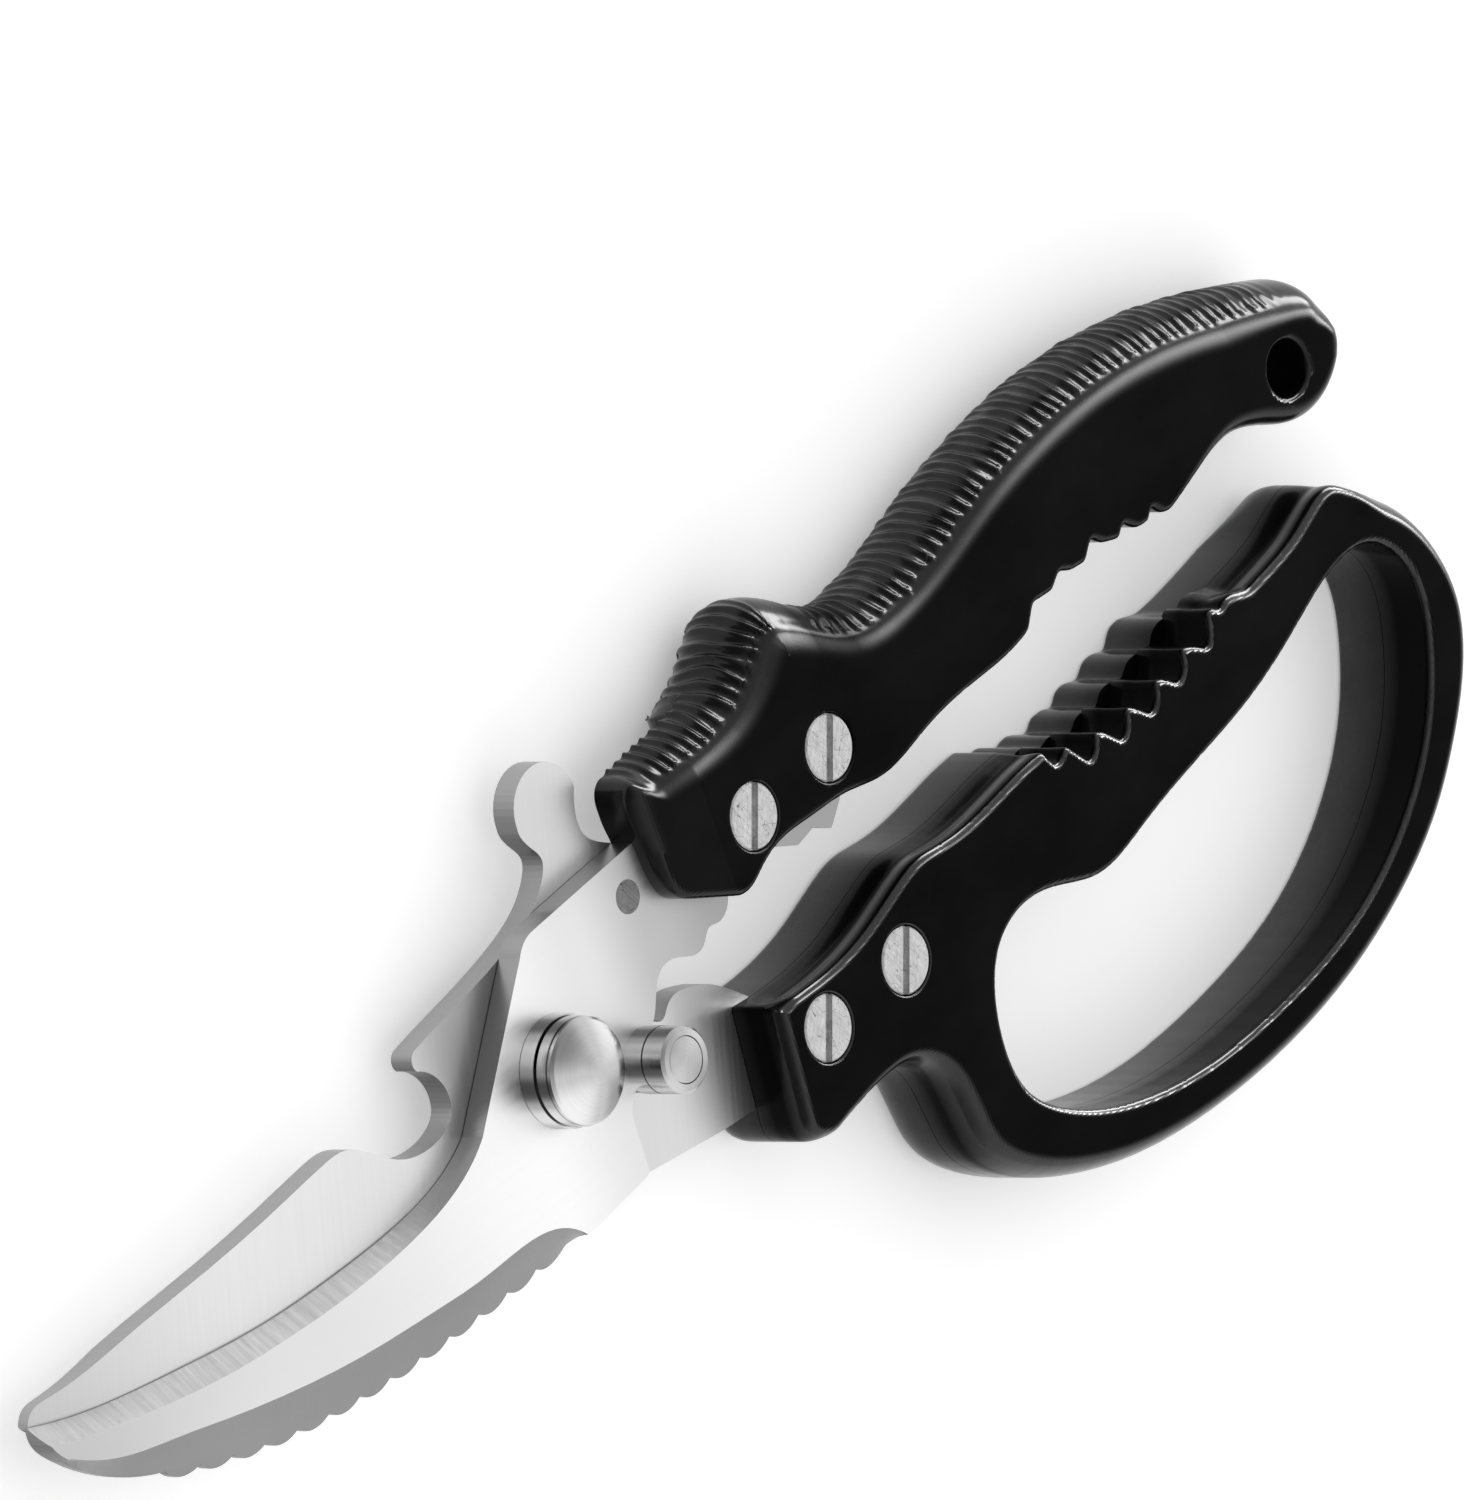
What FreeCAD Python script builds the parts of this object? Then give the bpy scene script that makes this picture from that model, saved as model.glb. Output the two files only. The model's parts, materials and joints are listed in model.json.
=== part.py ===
import FreeCAD, Part
import math
import os

# Poultry shears with a bottle-opener gullet, a fish-scaler edge and a closed finger loop.
# They lie flat on the backs of their handles: X runs along the shears with the blade tips
# at -X, Y runs across them and Z is up. The two blades meet on one plane, and heights below
# are measured from that plane: the front blade is above it and the back blade below it.
# All outlines are drawn round the pivot, and place() moves them to the part's own origin,
# the middle of the bounding box on the surface that the shears lie on.

V = FreeCAD.Vector

# ---- driving dimensions, mm ----
BLADE_T = 3.3
BLADE_GAP = 0.1                     # running gap between the blades
HANDLE_T = 15.0
SHELL_SEAM = 0.1                    # line between the front and back half of a handle
POCKET_CLEARANCE = 0.1              # round a tang, inside its handle

PIVOT_SHAFT_R = 3.0
PIVOT_FIT = 0.05                    # radial running clearance of the front blade
PIVOT_HEAD_R = 6.35
PIVOT_HEAD_TOP = 10.0
PIVOT_HEAD_RIM = 8.2
PIVOT_HEAD_LOW = 7.3
PIVOT_BASE_R = 6.75                 # the rings under the head, from the blade up
PIVOT_SPRING_WASHER_R = 5.9
PIVOT_RING_R = 6.5
PIVOT_BACK_WASHER_R = 6.2
PIVOT_NUT_T = 3.0
RING_FIT = 0.03                     # radial clearance of rings and pins that do not move
SIDE_FIT = 0.05                     # running gap between a ring and a blade or its neighbour

SCREW_HEAD_R = 4.0
SCREW_HEAD_T = 2.2
SCREW_SHANK_R = 2.0
SCREW_SLOT_W = 1.1
SCREW_SLOT_DEPTH = 0.7
SCREW_SLOT_ANGLE = 63.0             # from the length of the shears, degrees
SCREW_END = 5.2                     # how far the shank goes behind the blade plane
NUT_FLANGE_T = 1.9
NUT_BARREL_R = 2.9
SEAT_CLEARANCE = 0.15               # round the screw heads and nut flanges
UPPER_SCREWS = [(39.0, 13.2), (54.0, 14.5)]
LOWER_SCREWS = [(39.1, -14.5), (54.4, -13.5)]

LATCH_CENTRE = (13.9, -5.7)
LATCH_R = 4.0
LATCH_TOP = 9.5
LATCH_COLLAR_TOP = 6.0
LATCH_GROOVE = 0.25                 # thin step between the collar and the housing
LATCH_SEAT = 4.2                    # height that the spring stands on
LATCH_TRAVEL = 1.5
LATCH_HEAD_R = 2.8
LATCH_HEAD_T = 1.0
LATCH_PIN_R = 1.2
LATCH_FIT = 0.06
LATCH_HEAD_CHAMFER = 0.1
LATCH_PIN_CHAMFER = 0.2
SPRING_WIRE_R = 0.25
SPRING_R = 2.0
SPRING_TURNS = 4

FLUSH_PIN_CENTRE = (19.5, 12.65)
FLUSH_PIN_R = 2.0
HANG_HOLE_CENTRE = (144.3, 18.3)
HANG_HOLE_R = 3.5

SCALER_START_X = -78.0
SCALER_PITCH = 5.49
SCALER_LOBES = 13
SCALER_LOBE_DEPTH = 1.1
SCALER_LOW_X = -24.0                # the scaler edge is lowest here
SCALER_LOW_Y = -19.8
SCALER_RISE = 3.7e-4                # and rises with the 2.5 power of the distance from it
SCALER_EDGE_T = 1.2                 # thickness left at the scaler edge
CUTTING_EDGE_T = 0.3                # thickness left at the cutting edge

# ---- derived heights, from the blade plane ----
FRONT_LOW = BLADE_GAP / 2
FRONT_TOP = FRONT_LOW + BLADE_T
BACK_TOP = -BLADE_GAP / 2
BACK_LOW = BACK_TOP - BLADE_T
HANDLE_TOP = HANDLE_T / 2
HANDLE_LOW = -HANDLE_T / 2
UP = V(0, 0, 1)

# Front blade's cutting edge: x, y of the edge, y of the top of its bevel
CUTTING_EDGE = [(-95.4, 2.7, 0.3), (-85, -0.3, -2.3), (-70, -2.9, -5.2), (-55, -4.8, -6.65),
                (-40, -5.3, -6.9), (-30, -5.0, -6.15), (-20, -3.3, -3.8), (-15, -1.0, -1.0)]

# Seen from the side, what is ground off the back blade's underside at its tip: x and height
TIP_SIDE = [(-78, BACK_LOW), (-97, BACK_TOP - 1.3), (-97, BACK_LOW - 1), (-78, BACK_LOW - 1)]

# Upper handle's crown: x, y of its outline, y where the flat front and back faces begin
UPPER_CROWN = [(151.5, 26.4, 21.2), (138, 31.0, 23.7), (125, 33.7, 27.2), (112, 34.3, 28.1),
               (100, 33.1, 26.8), (90, 31.0, 24.6), (80, 28.0, 22.1), (72, 26.5, 20.6),
               (66, 26.9, 20.2), (61, 30.0, 21.3), (57, 32.9, 24.2), (52.5, 34.4, 26.5),
               (49, 33.2, 24.8), (45, 29.9, 22.0), (40, 27.6, 20.5), (32, 26.5, 20.5),
               (25, 25.6, 20.3)]
CROWN_SIDE_LOW = 4.0                # the crown's slope starts at this height

# Seen from the side, what is cut off the upper handle's front end: x and height. A steep
# wall stands on the blade, and a shallow slope runs from its top up to the front face.
NOSE_SIDE = [(22.4, FRONT_TOP), (24.2, 6.5), (32.5, HANDLE_TOP), (32.5, 9), (18, 9),
             (18, FRONT_TOP)]

# Pockets for the tangs, open towards the pivot and, for the upper one, at the nut jaw
UPPER_POCKET = [(20, 17.8), (22.7, 18.0), (34, 18.5), (64.1, 18.5), (64.1, 10.4), (58.7, 9.5),
                (56.9, 6.3), (56.9, 3.0), (44.5, 3.0), (44.5, 6.3), (43.4, 9.5), (36.3, 9.5),
                (34.9, 5.0), (34.9, 2.0), (20, 2.0)]
LOWER_POCKET = [(29, -3.0), (33.2, -5.8), (36.4, -9.0), (40, -9.7), (66.1, -8.3),
                (66.1, -15.9), (36, -20.2), (29, -21.3)]

# Lower handle's nutcracker teeth, corner by corner: hooked in its front half, shallow behind
FRONT_TEETH = [(87.9, -5.2), (89.4, -4.6), (90.2, -3.6), (91.4, -5.0),
               (93.4, -7.5), (94.9, -6.2), (95.3, -4.6), (97.0, -5.3),
               (99.5, -7.8), (100.9, -6.4), (101.4, -4.4), (103.0, -5.2),
               (105.4, -7.3), (106.9, -5.8), (107.2, -3.9), (108.9, -4.4),
               (111.2, -6.2), (112.7, -4.8), (113.0, -2.7), (115.2, -3.3),
               (117.5, -4.8), (118.6, -2.6), (118.8, -0.8), (120.2, -0.8),
               (121.3, -1.9), (122.2, -0.9), (124, -0.9), (126.7, -1.7)]
BACK_TEETH = [(88.4, -4.4), (90.2, -3.9), (93.3, -5.7), (94.8, -4.9), (96.4, -5.4),
              (98.6, -6.5), (100.1, -5.1), (102.2, -5.0), (103.9, -5.8),
              (105.1, -4.3), (106.8, -4.0), (109.3, -4.8), (110.9, -3.3), (112.8, -3.1),
              (114.9, -3.9), (116.7, -1.9), (118.6, -1.5), (121.6, -2.4), (126.7, -1.7)]


# ---- drawing helpers ----
def smooth(*points):
    """One spline edge through the points."""
    curve = Part.BSplineCurve()
    curve.interpolate([V(x, y, 0) for x, y in points])
    return [curve.toShape()]


def straight(*points):
    """Straight edges from point to point."""
    return [Part.makeLine(V(*a, 0), V(*b, 0)) for a, b in zip(points, points[1:])]


def arc(start, middle, end):
    """One arc through three points."""
    return [Part.Arc(V(*start, 0), V(*middle, 0), V(*end, 0)).toShape()]


def ends(run):
    """First and last point of a run of edges drawn in order."""
    return run[0].valueAt(run[0].FirstParameter), run[-1].valueAt(run[-1].LastParameter)


def outline(*runs):
    """Closed wire from runs of edges, with a straight edge wherever two runs do not meet."""
    edges = []
    for run, following in zip(runs, runs[1:] + runs[:1]):
        edges += run
        here, there = ends(run)[1], ends(following)[0]
        if here.distanceToPoint(there) > 0.01:
            edges.append(Part.makeLine(here, there))
    return Part.Wire(Part.__sortEdges__(edges))


def plate(wire, low, high):
    """Solid between two heights with the given outline."""
    flat = Part.Face(wire)
    flat.translate(UP * low)
    return flat.extrude(UP * (high - low))


def disc(centre, radius, low, high):
    """Upright cylinder."""
    return Part.makeCylinder(radius, high - low, V(*centre, low), UP)


def ring(centre, outer, inner, low, high):
    """Upright tube."""
    return disc(centre, outer, low, high).cut(disc(centre, inner, low, high))


def turned(centre, profile):
    """Solid turned round an upright axis from (radius, height) points."""
    points = [V(radius, 0, height) for radius, height in profile]
    solid = Part.Face(Part.makePolygon(points + points[:1])).revolve(V(0, 0, 0), UP, 360)
    solid.translate(V(*centre, 0))
    return solid


def bevel_cutter(stations, deep, face, side):
    """Smooth wedge that takes an edge off a plate.

    Each station is x, y on the outline and y on the face. The slope runs from the height
    deep, on the outline, to the height face. side is +1 or -1, the way the edge faces.
    """
    overrun = 0.15
    outside = 6.0 * side
    sections = []
    for x, y_edge, y_face in stations:
        run = y_edge - y_face
        rise = deep - face
        low = V(x, y_edge + overrun * run, deep + overrun * rise)
        high = V(x, y_face - overrun * run, face - overrun * rise)
        out = V(x, low.y + outside, high.z)
        sections.append(Part.makePolygon([low, high, out, low]))
    return Part.makeLoft(sections, True, False)


def holes(centres, radius, low, high):
    """The same hole at several places, as one cutting shape."""
    return Part.makeCompound([disc(centre, radius, low, high) for centre in centres])


# ---- blades ----
def scaler_y(x):
    """The scaler's notches lie on this curve."""
    return SCALER_LOW_Y + SCALER_RISE * abs(x - SCALER_LOW_X) ** 2.5


def scaler_edge():
    """Round lobes between evenly spaced notches, from the heel to the tip end."""
    run = []
    for lobe in reversed(range(SCALER_LOBES)):
        left = SCALER_START_X + lobe * SCALER_PITCH
        right = left + SCALER_PITCH
        middle = (left + right) / 2
        start = (right, scaler_y(right))
        end = (left, scaler_y(left))
        run += arc(start, (middle, (start[1] + end[1]) / 2 - SCALER_LOBE_DEPTH), end)
    return run


def front_blade_outline():
    """Cutting edge, neck, top of the tang, tang end, jaw, latch ear, scaler and tip."""
    x, y = LATCH_CENTRE
    ear = LATCH_R - 0.1
    low_right = ear * math.sqrt(0.5)
    return outline(
        smooth(*[(edge_x, edge_y) for edge_x, edge_y, _ in CUTTING_EDGE]),
        straight((-15, -1), (0, 14.6)),
        arc((0, 14.6), (1.4, 15.9), (3.5, 16.5)),
        straight((3.5, 16.5), (22.7, 17.9), (34, 18.4), (64, 18.4), (64, 10.5), (58.5, 9.6)),
        straight((56.7, 6.3), (54, 4.0), (51.3, 5.5), (48, 4.8), (44.7, 6.3), (43.5, 9.6)),
        straight((36.2, 9.6), (34.7, 5.0)),
        smooth((34.7, 5.0), (33.5, 3.5), (31.9, 3.0), (30.2, 3.2), (28.5, 1.8), (26.9, 1.4),
               (24.6, 2.2), (22.7, 2.8), (21.1, 2.7), (19.8, 1.9), (17.7, -1.15), (16.27, -2.6)),
        arc((16.27, -2.6), (x + low_right, y - low_right), (10.7, -7.93)),
        smooth((10.7, -7.93), (9.6, -8.8), (8.9, -10.0), (8.6, -11.5)),
        straight((8.6, -11.5), (8.4, -17.0)),
        arc((8.4, -17.0), (8.2, -17.5), (7.7, -17.8)),
        straight((7.7, -17.8), (-2.0, -19.1)),
        scaler_edge(),
        smooth((SCALER_START_X, scaler_y(SCALER_START_X)), (-83.5, -9.8), (-89.2, -6.3),
               (-93.6, -2.3), (-95.5, 0.6), (-95.4, 2.7)),
    )


def front_blade():
    """Upper blade with its tang: cutting bevel, scaler bevel and all its holes."""
    solid = plate(front_blade_outline(), FRONT_LOW, FRONT_TOP)
    cutting = [(-99, 3.8, 1.4)] + CUTTING_EDGE
    solid = solid.cut(bevel_cutter(cutting, FRONT_LOW + CUTTING_EDGE_T, FRONT_TOP, 1))
    tip_end = [(-93.5, -2.4, -2.2), (-89.2, -6.3, -4.6), (-83.5, -9.8, -6.7)]
    face_line = [(-75, -8.6), (-65, -10.9), (-55, -12.8), (-45, -14.2), (-35, -15.0),
                 (-22, -15.6), (-10, -15.8), (-7, -16.9), (-4.2, -19.2)]
    along = [(x, scaler_y(x) - SCALER_LOBE_DEPTH / 2, y) for x, y in face_line]
    solid = solid.cut(bevel_cutter(tip_end + along, FRONT_LOW + SCALER_EDGE_T, FRONT_TOP, -1))
    drill = (FRONT_LOW - 1, FRONT_TOP + 1)
    solid = solid.cut(disc((0, 0), PIVOT_SHAFT_R + PIVOT_FIT, *drill))
    solid = solid.cut(disc(LATCH_CENTRE, LATCH_PIN_R + LATCH_FIT, *drill))
    solid = solid.cut(disc(FLUSH_PIN_CENTRE, FLUSH_PIN_R + RING_FIT, *drill))
    return solid.cut(holes(UPPER_SCREWS, SCREW_SHANK_R + POCKET_CLEARANCE, *drill))


def back_blade_outline():
    """Spine, bottle-opener gullet and hook, top lobe, tang and the hidden cutting edge."""
    return outline(
        smooth((-95.0, 2.3), (-93.8, 3.7), (-90, 4.0), (-75, 4.3), (-60, 4.9), (-45, 6.0),
               (-37, 6.8), (-33.5, 6.7), (-30, 4.9), (-26.5, 2.1), (-23.5, 0.7), (-20.4, 0.3),
               (-17.3, 0.8), (-15.2, 2.2), (-14.7, 4.6), (-16.0, 7.6), (-18.2, 9.2)),
        arc((-18.2, 9.2), (-18.5, 10.6), (-17.4, 11.6)),
        smooth((-17.4, 11.6), (-7.3, 13.2), (1.2, 14.8), (7.0, 16.7), (10.3, 19.0),
               (11.7, 21.4), (10.4, 23.9), (9.6, 26.5)),
        arc((9.6, 26.5), (15.0, 31.9), (20.4, 26.5)),
        smooth((20.4, 26.5), (19.2, 23.6), (19.3, 21.0), (21.3, 18.9), (23.6, 17.6)),
        smooth((23.6, 17.6), (24.6, 12.0), (22.0, 4.0), (20.2, -4.0), (21.6, -4.4),
               (22.8, -3.5), (24.6, -2.7), (27.2, -3.1), (29.8, -4.0), (33.0, -6.2),
               (36.5, -9.4)),
        straight((40, -9.8), (66, -8.4), (66, -15.8), (36, -20.0), (31.2, -20.9)),
        straight((25, -20.6), (11.7, -19.2), (8.0, -18.3)),
        smooth((8.0, -18.3), (0.0, -16.4), (-9, -13.0), (-17, -9.2), (-25, -6.7), (-35, -7.0),
               (-50, -6.7), (-65, -5.2), (-80, -2.9), (-90, -0.4), (-94.2, 1.1), (-95.0, 2.3)),
    )


def back_blade():
    """Lower blade with its tang, ground on its far side so that its edge meets the front one."""
    solid = plate(back_blade_outline(), BACK_LOW, BACK_TOP)
    ground = [(-97, 2.9, 6.0), (-90, -0.4, 1.6), (-80, -2.9, -0.6), (-65, -5.2, -2.9),
              (-50, -6.7, -4.4), (-35, -7.0, -4.7), (-26, -6.7, -5.6), (-22, -7.6, -7.6)]
    solid = solid.cut(bevel_cutter(ground, BACK_TOP - CUTTING_EDGE_T, BACK_LOW, -1))
    solid = max(solid.Solids, key=lambda piece: piece.Volume)   # drops a crumb at the tip
    below = Part.makePolygon([V(x, -10, n) for x, n in TIP_SIDE + TIP_SIDE[:1]])
    solid = solid.cut(Part.Face(below).extrude(V(0, 20, 0)))
    drill = (BACK_LOW - 1, BACK_TOP + 1)
    solid = solid.cut(disc((0, 0), PIVOT_SHAFT_R + PIVOT_FIT, *drill))
    return solid.cut(holes(LOWER_SCREWS, NUT_BARREL_R + POCKET_CLEARANCE, *drill))


# ---- handles ----
def upper_handle_outline():
    """Nose, jaw side, palm grip with five small saw notches, tail and ribbed crown."""
    return outline(
        smooth((22.9, 17.8), (23.4, 13.0), (24.4, 10.4), (26.3, 8.9)),
        straight((26.3, 8.9), (33.4, 5.7)),
        smooth((33.4, 5.7), (35.6, 5.9), (38.5, 7.3), (42, 8.4), (48, 8.5), (55, 8.2),
               (61, 7.2), (70, 8.7), (78, 9.7), (86.7, 10.1), (91.0, 11.0)),
        straight((93, 13.5), (96.7, 13.3), (98.7, 14.8), (100.7, 13.9), (103.3, 13.7),
                 (105.3, 15.7), (107, 14.3), (109.7, 13.5), (111, 14.8), (113, 13.2),
                 (115, 13.0), (116.3, 14.3), (117.7, 12.8), (119, 12.5)),
        smooth((119, 12.5), (126.3, 14.3), (133.5, 15.1), (139.7, 13.2), (143.8, 11.5),
               (148, 11.4), (152.3, 13.4), (155.5, 17.8), (155.2, 22.8), (151.5, 26.4)),
        smooth(*[(x, y) for x, y, _ in UPPER_CROWN]),
        smooth((25, 25.6), (23.0, 24.5), (22.4, 21.9), (22.9, 17.8)),
    )


def lower_handle_outline(teeth):
    """Front end, nutcracker teeth, hump and the outside of the finger loop."""
    return outline(
        arc((35.0, -26.2), (31.9, -25.7), (30.7, -22.8)),
        smooth((32.4, -8.5), (37, -8.8), (43.7, -8.6), (50, -7.5), (57.7, -5.0), (62, -4.0),
               (67, -4.3), (75, -3.9), (81.7, -2.9), (86.5, -2.6)),
        straight((86.5, -2.6), *teeth),
        smooth((126.7, -1.7), (131, -1.0), (137, 0.4), (141.5, 2.2), (144.7, 2.7),
               (148.3, 0.4), (152.6, -2.5), (156.7, -6.8), (159.4, -12.5), (160.2, -19.3),
               (157.8, -26.7), (152.3, -34.1), (144.5, -41.3), (134.5, -47.0), (123, -51.2),
               (110.3, -53.7), (95, -54.5), (81.3, -53.2), (69.8, -49.8), (61.9, -45.4),
               (57.6, -40.8), (55.9, -33.2), (54.4, -28.2), (51.0, -25.2),
               (47, -24.5), (41, -24.9), (35.0, -26.2)),
    )


def finger_hole_outline():
    """Inside of the finger loop."""
    points = [(65.3, -31.3), (66.4, -24.8), (69.2, -20.0), (74.6, -17.2), (81.1, -17.6),
              (88.6, -19.8), (98.6, -18.1), (110.6, -15.5), (121.6, -13.2), (132.6, -9.3),
              (141.6, -6.1), (148.3, -6.6), (152.8, -12.8), (151.8, -20.8), (147.6, -29.0),
              (138.9, -37.6), (125.6, -44.4), (112.3, -47.3), (95.6, -48.3), (82.3, -46.3),
              (71.1, -41.3), (66.3, -36.3)]
    curve = Part.BSplineCurve()
    curve.interpolate([V(x, y, 0) for x, y in points], True)
    return Part.Wire(curve.toShape())


def screw_seats(shell, centres, front):
    """Take out the seat and the clearance hole for each screw head or barrel nut."""
    seat_r = SCREW_HEAD_R + SEAT_CLEARANCE
    if front:
        seat = holes(centres, seat_r, HANDLE_TOP - SCREW_HEAD_T, HANDLE_TOP + 1)
        bore = holes(centres, SCREW_SHANK_R + POCKET_CLEARANCE, -1, HANDLE_TOP)
    else:
        seat = holes(centres, seat_r, HANDLE_LOW - 1, HANDLE_LOW + NUT_FLANGE_T)
        bore = holes(centres, NUT_BARREL_R + POCKET_CLEARANCE, HANDLE_LOW, 1)
    return shell.cut(seat).cut(bore)


def tang_pocket(points, low, high):
    """Straight-sided cutting shape, a little larger all round than the tang that it holds."""
    return plate(outline(straight(*points)), low - POCKET_CLEARANCE, high + POCKET_CLEARANCE)


def upper_handle(front):
    """Half of the palm handle. Only the front half reaches forward over the blade."""
    if front:
        shell = plate(upper_handle_outline(), SHELL_SEAM, HANDLE_TOP)
        deep, face = CROWN_SIDE_LOW, HANDLE_TOP
        above = Part.makePolygon([V(x, 0, n) for x, n in NOSE_SIDE + NOSE_SIDE[:1]])
        shell = shell.cut(Part.Face(above).extrude(V(0, 40, 0)))
        shell = shell.cut(tang_pocket(UPPER_POCKET, FRONT_LOW, FRONT_TOP))
    else:
        shell = plate(upper_handle_outline(), HANDLE_LOW, 0)
        deep, face = -CROWN_SIDE_LOW, HANDLE_LOW
        back_start = 38.0
        shell = shell.cut(Part.makeBox(30, 60, HANDLE_T, V(back_start - 30, -10, HANDLE_LOW)))
    crown = [(158, 20.0, 14.0)] + UPPER_CROWN + [(20, 25.0, 20.3)]
    shell = shell.cut(bevel_cutter(crown, deep, face, 1))
    shell = shell.cut(disc(HANG_HOLE_CENTRE, HANG_HOLE_R, HANDLE_LOW - 1, HANDLE_TOP + 1))
    return screw_seats(shell, UPPER_SCREWS, front)


def lower_handle(front):
    """Half of the finger-loop handle. The back half holds the back blade's tang."""
    low, high = (SHELL_SEAM, HANDLE_TOP) if front else (HANDLE_LOW, 0)
    shell = plate(lower_handle_outline(FRONT_TEETH if front else BACK_TEETH), low, high)
    shell = shell.cut(plate(finger_hole_outline(), low - 1, high + 1))
    if not front:
        shell = shell.cut(tang_pocket(LOWER_POCKET, BACK_LOW, BACK_TOP))
    return screw_seats(shell, LOWER_SCREWS, front)


# ---- fasteners ----
def handle_screw(centre):
    """Flat-headed slotted screw, its head flush with the handle's front face."""
    x, y = centre
    under = HANDLE_TOP - SCREW_HEAD_T
    edge = 0.2
    solid = turned(centre, [(0, -SCREW_END), (SCREW_SHANK_R, -SCREW_END), (SCREW_SHANK_R, under),
                            (SCREW_HEAD_R, under), (SCREW_HEAD_R, HANDLE_TOP - edge),
                            (SCREW_HEAD_R - edge, HANDLE_TOP), (0, HANDLE_TOP)])
    length = 3 * SCREW_HEAD_R
    slot = Part.makeBox(length, SCREW_SLOT_W, 2 * SCREW_SLOT_DEPTH,
                        V(-length / 2, -SCREW_SLOT_W / 2, HANDLE_TOP - SCREW_SLOT_DEPTH))
    slot.rotate(V(0, 0, 0), UP, SCREW_SLOT_ANGLE)
    slot.translate(V(x, y, 0))
    return solid.cut(slot)


def barrel_nut(centre):
    """Flanged sleeve that the screw turns into, from the back of the handle."""
    flange_top = HANDLE_LOW + NUT_FLANGE_T
    bore = SCREW_SHANK_R + 0.05
    barrel_top = -0.6
    floor_t = 1.2
    return turned(centre, [(0, HANDLE_LOW), (SCREW_HEAD_R, HANDLE_LOW), (SCREW_HEAD_R, flange_top),
                           (NUT_BARREL_R, flange_top), (NUT_BARREL_R, barrel_top),
                           (bore, barrel_top), (bore, HANDLE_LOW + floor_t),
                           (0, HANDLE_LOW + floor_t)])


def pivot_bolt():
    """Domed head over a plain shaft through both blades."""
    chamfer = 0.35
    dome_rim_r = PIVOT_HEAD_R - chamfer
    sagitta = PIVOT_HEAD_TOP - PIVOT_HEAD_RIM
    sphere_r = (dome_rim_r ** 2 + sagitta ** 2) / (2 * sagitta)
    head = turned((0, 0), [(0, PIVOT_HEAD_LOW), (PIVOT_HEAD_R, PIVOT_HEAD_LOW),
                           (PIVOT_HEAD_R, PIVOT_HEAD_RIM - chamfer),
                           (dome_rim_r, PIVOT_HEAD_RIM), (0, PIVOT_HEAD_RIM)])
    ball = Part.makeSphere(sphere_r, V(0, 0, PIVOT_HEAD_TOP - sphere_r))
    dome = ball.common(disc((0, 0), dome_rim_r, PIVOT_HEAD_RIM, PIVOT_HEAD_TOP + 1))
    shaft_end = HANDLE_LOW + 0.4
    shaft = disc((0, 0), PIVOT_SHAFT_R, shaft_end, PIVOT_HEAD_LOW)
    return head.fuse([dome, shaft]).removeSplitter()


def pivot_nut():
    """Six-sided nut on the back of the bolt, level with the backs of the handles."""
    across_corners = 11.6
    corners = [V(across_corners / 2 * math.cos(math.radians(60 * side)),
                 across_corners / 2 * math.sin(math.radians(60 * side)), HANDLE_LOW)
               for side in range(7)]
    nut = Part.Face(Part.makePolygon(corners)).extrude(UP * PIVOT_NUT_T)
    return nut.cut(disc((0, 0), PIVOT_SHAFT_R + RING_FIT, HANDLE_LOW - 1, 0))


def latch_collar():
    """Lower section of the latch stud: it stands on the front blade and seats the spring."""
    pin_hole_r = LATCH_PIN_R + LATCH_FIT
    head_hole_r = LATCH_HEAD_R + LATCH_FIT
    step_r = LATCH_R - 0.3
    step_top = LATCH_COLLAR_TOP + LATCH_GROOVE
    return turned(LATCH_CENTRE, [(pin_hole_r, FRONT_TOP), (LATCH_R, FRONT_TOP),
                                 (LATCH_R, LATCH_COLLAR_TOP), (step_r, LATCH_COLLAR_TOP),
                                 (step_r, step_top), (head_hole_r, step_top),
                                 (head_hole_r, LATCH_SEAT), (pin_hole_r, LATCH_SEAT)])


def latch_housing():
    """Upper section of the latch stud, a ring round the button with a chamfered rim."""
    low = LATCH_COLLAR_TOP + LATCH_GROOVE
    chamfer = 0.35
    return turned(LATCH_CENTRE, [(LATCH_HEAD_R + LATCH_FIT, low), (LATCH_R, low),
                                 (LATCH_R, LATCH_TOP - chamfer), (LATCH_R - chamfer, LATCH_TOP),
                                 (LATCH_HEAD_R + LATCH_FIT, LATCH_TOP)])


def latch_button():
    """Round head and the pin that slides through the front blade towards the back tang."""
    head_low = LATCH_TOP - LATCH_HEAD_T
    clear_of_tang = 0.15
    tip = BACK_TOP + LATCH_TRAVEL + clear_of_tang
    return turned(LATCH_CENTRE, [(0, tip), (LATCH_PIN_R - LATCH_PIN_CHAMFER, tip),
                                 (LATCH_PIN_R, tip + LATCH_PIN_CHAMFER),
                                 (LATCH_PIN_R, head_low), (LATCH_HEAD_R, head_low),
                                 (LATCH_HEAD_R, LATCH_TOP - LATCH_HEAD_CHAMFER),
                                 (LATCH_HEAD_R - LATCH_HEAD_CHAMFER, LATCH_TOP), (0, LATCH_TOP)])


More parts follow.
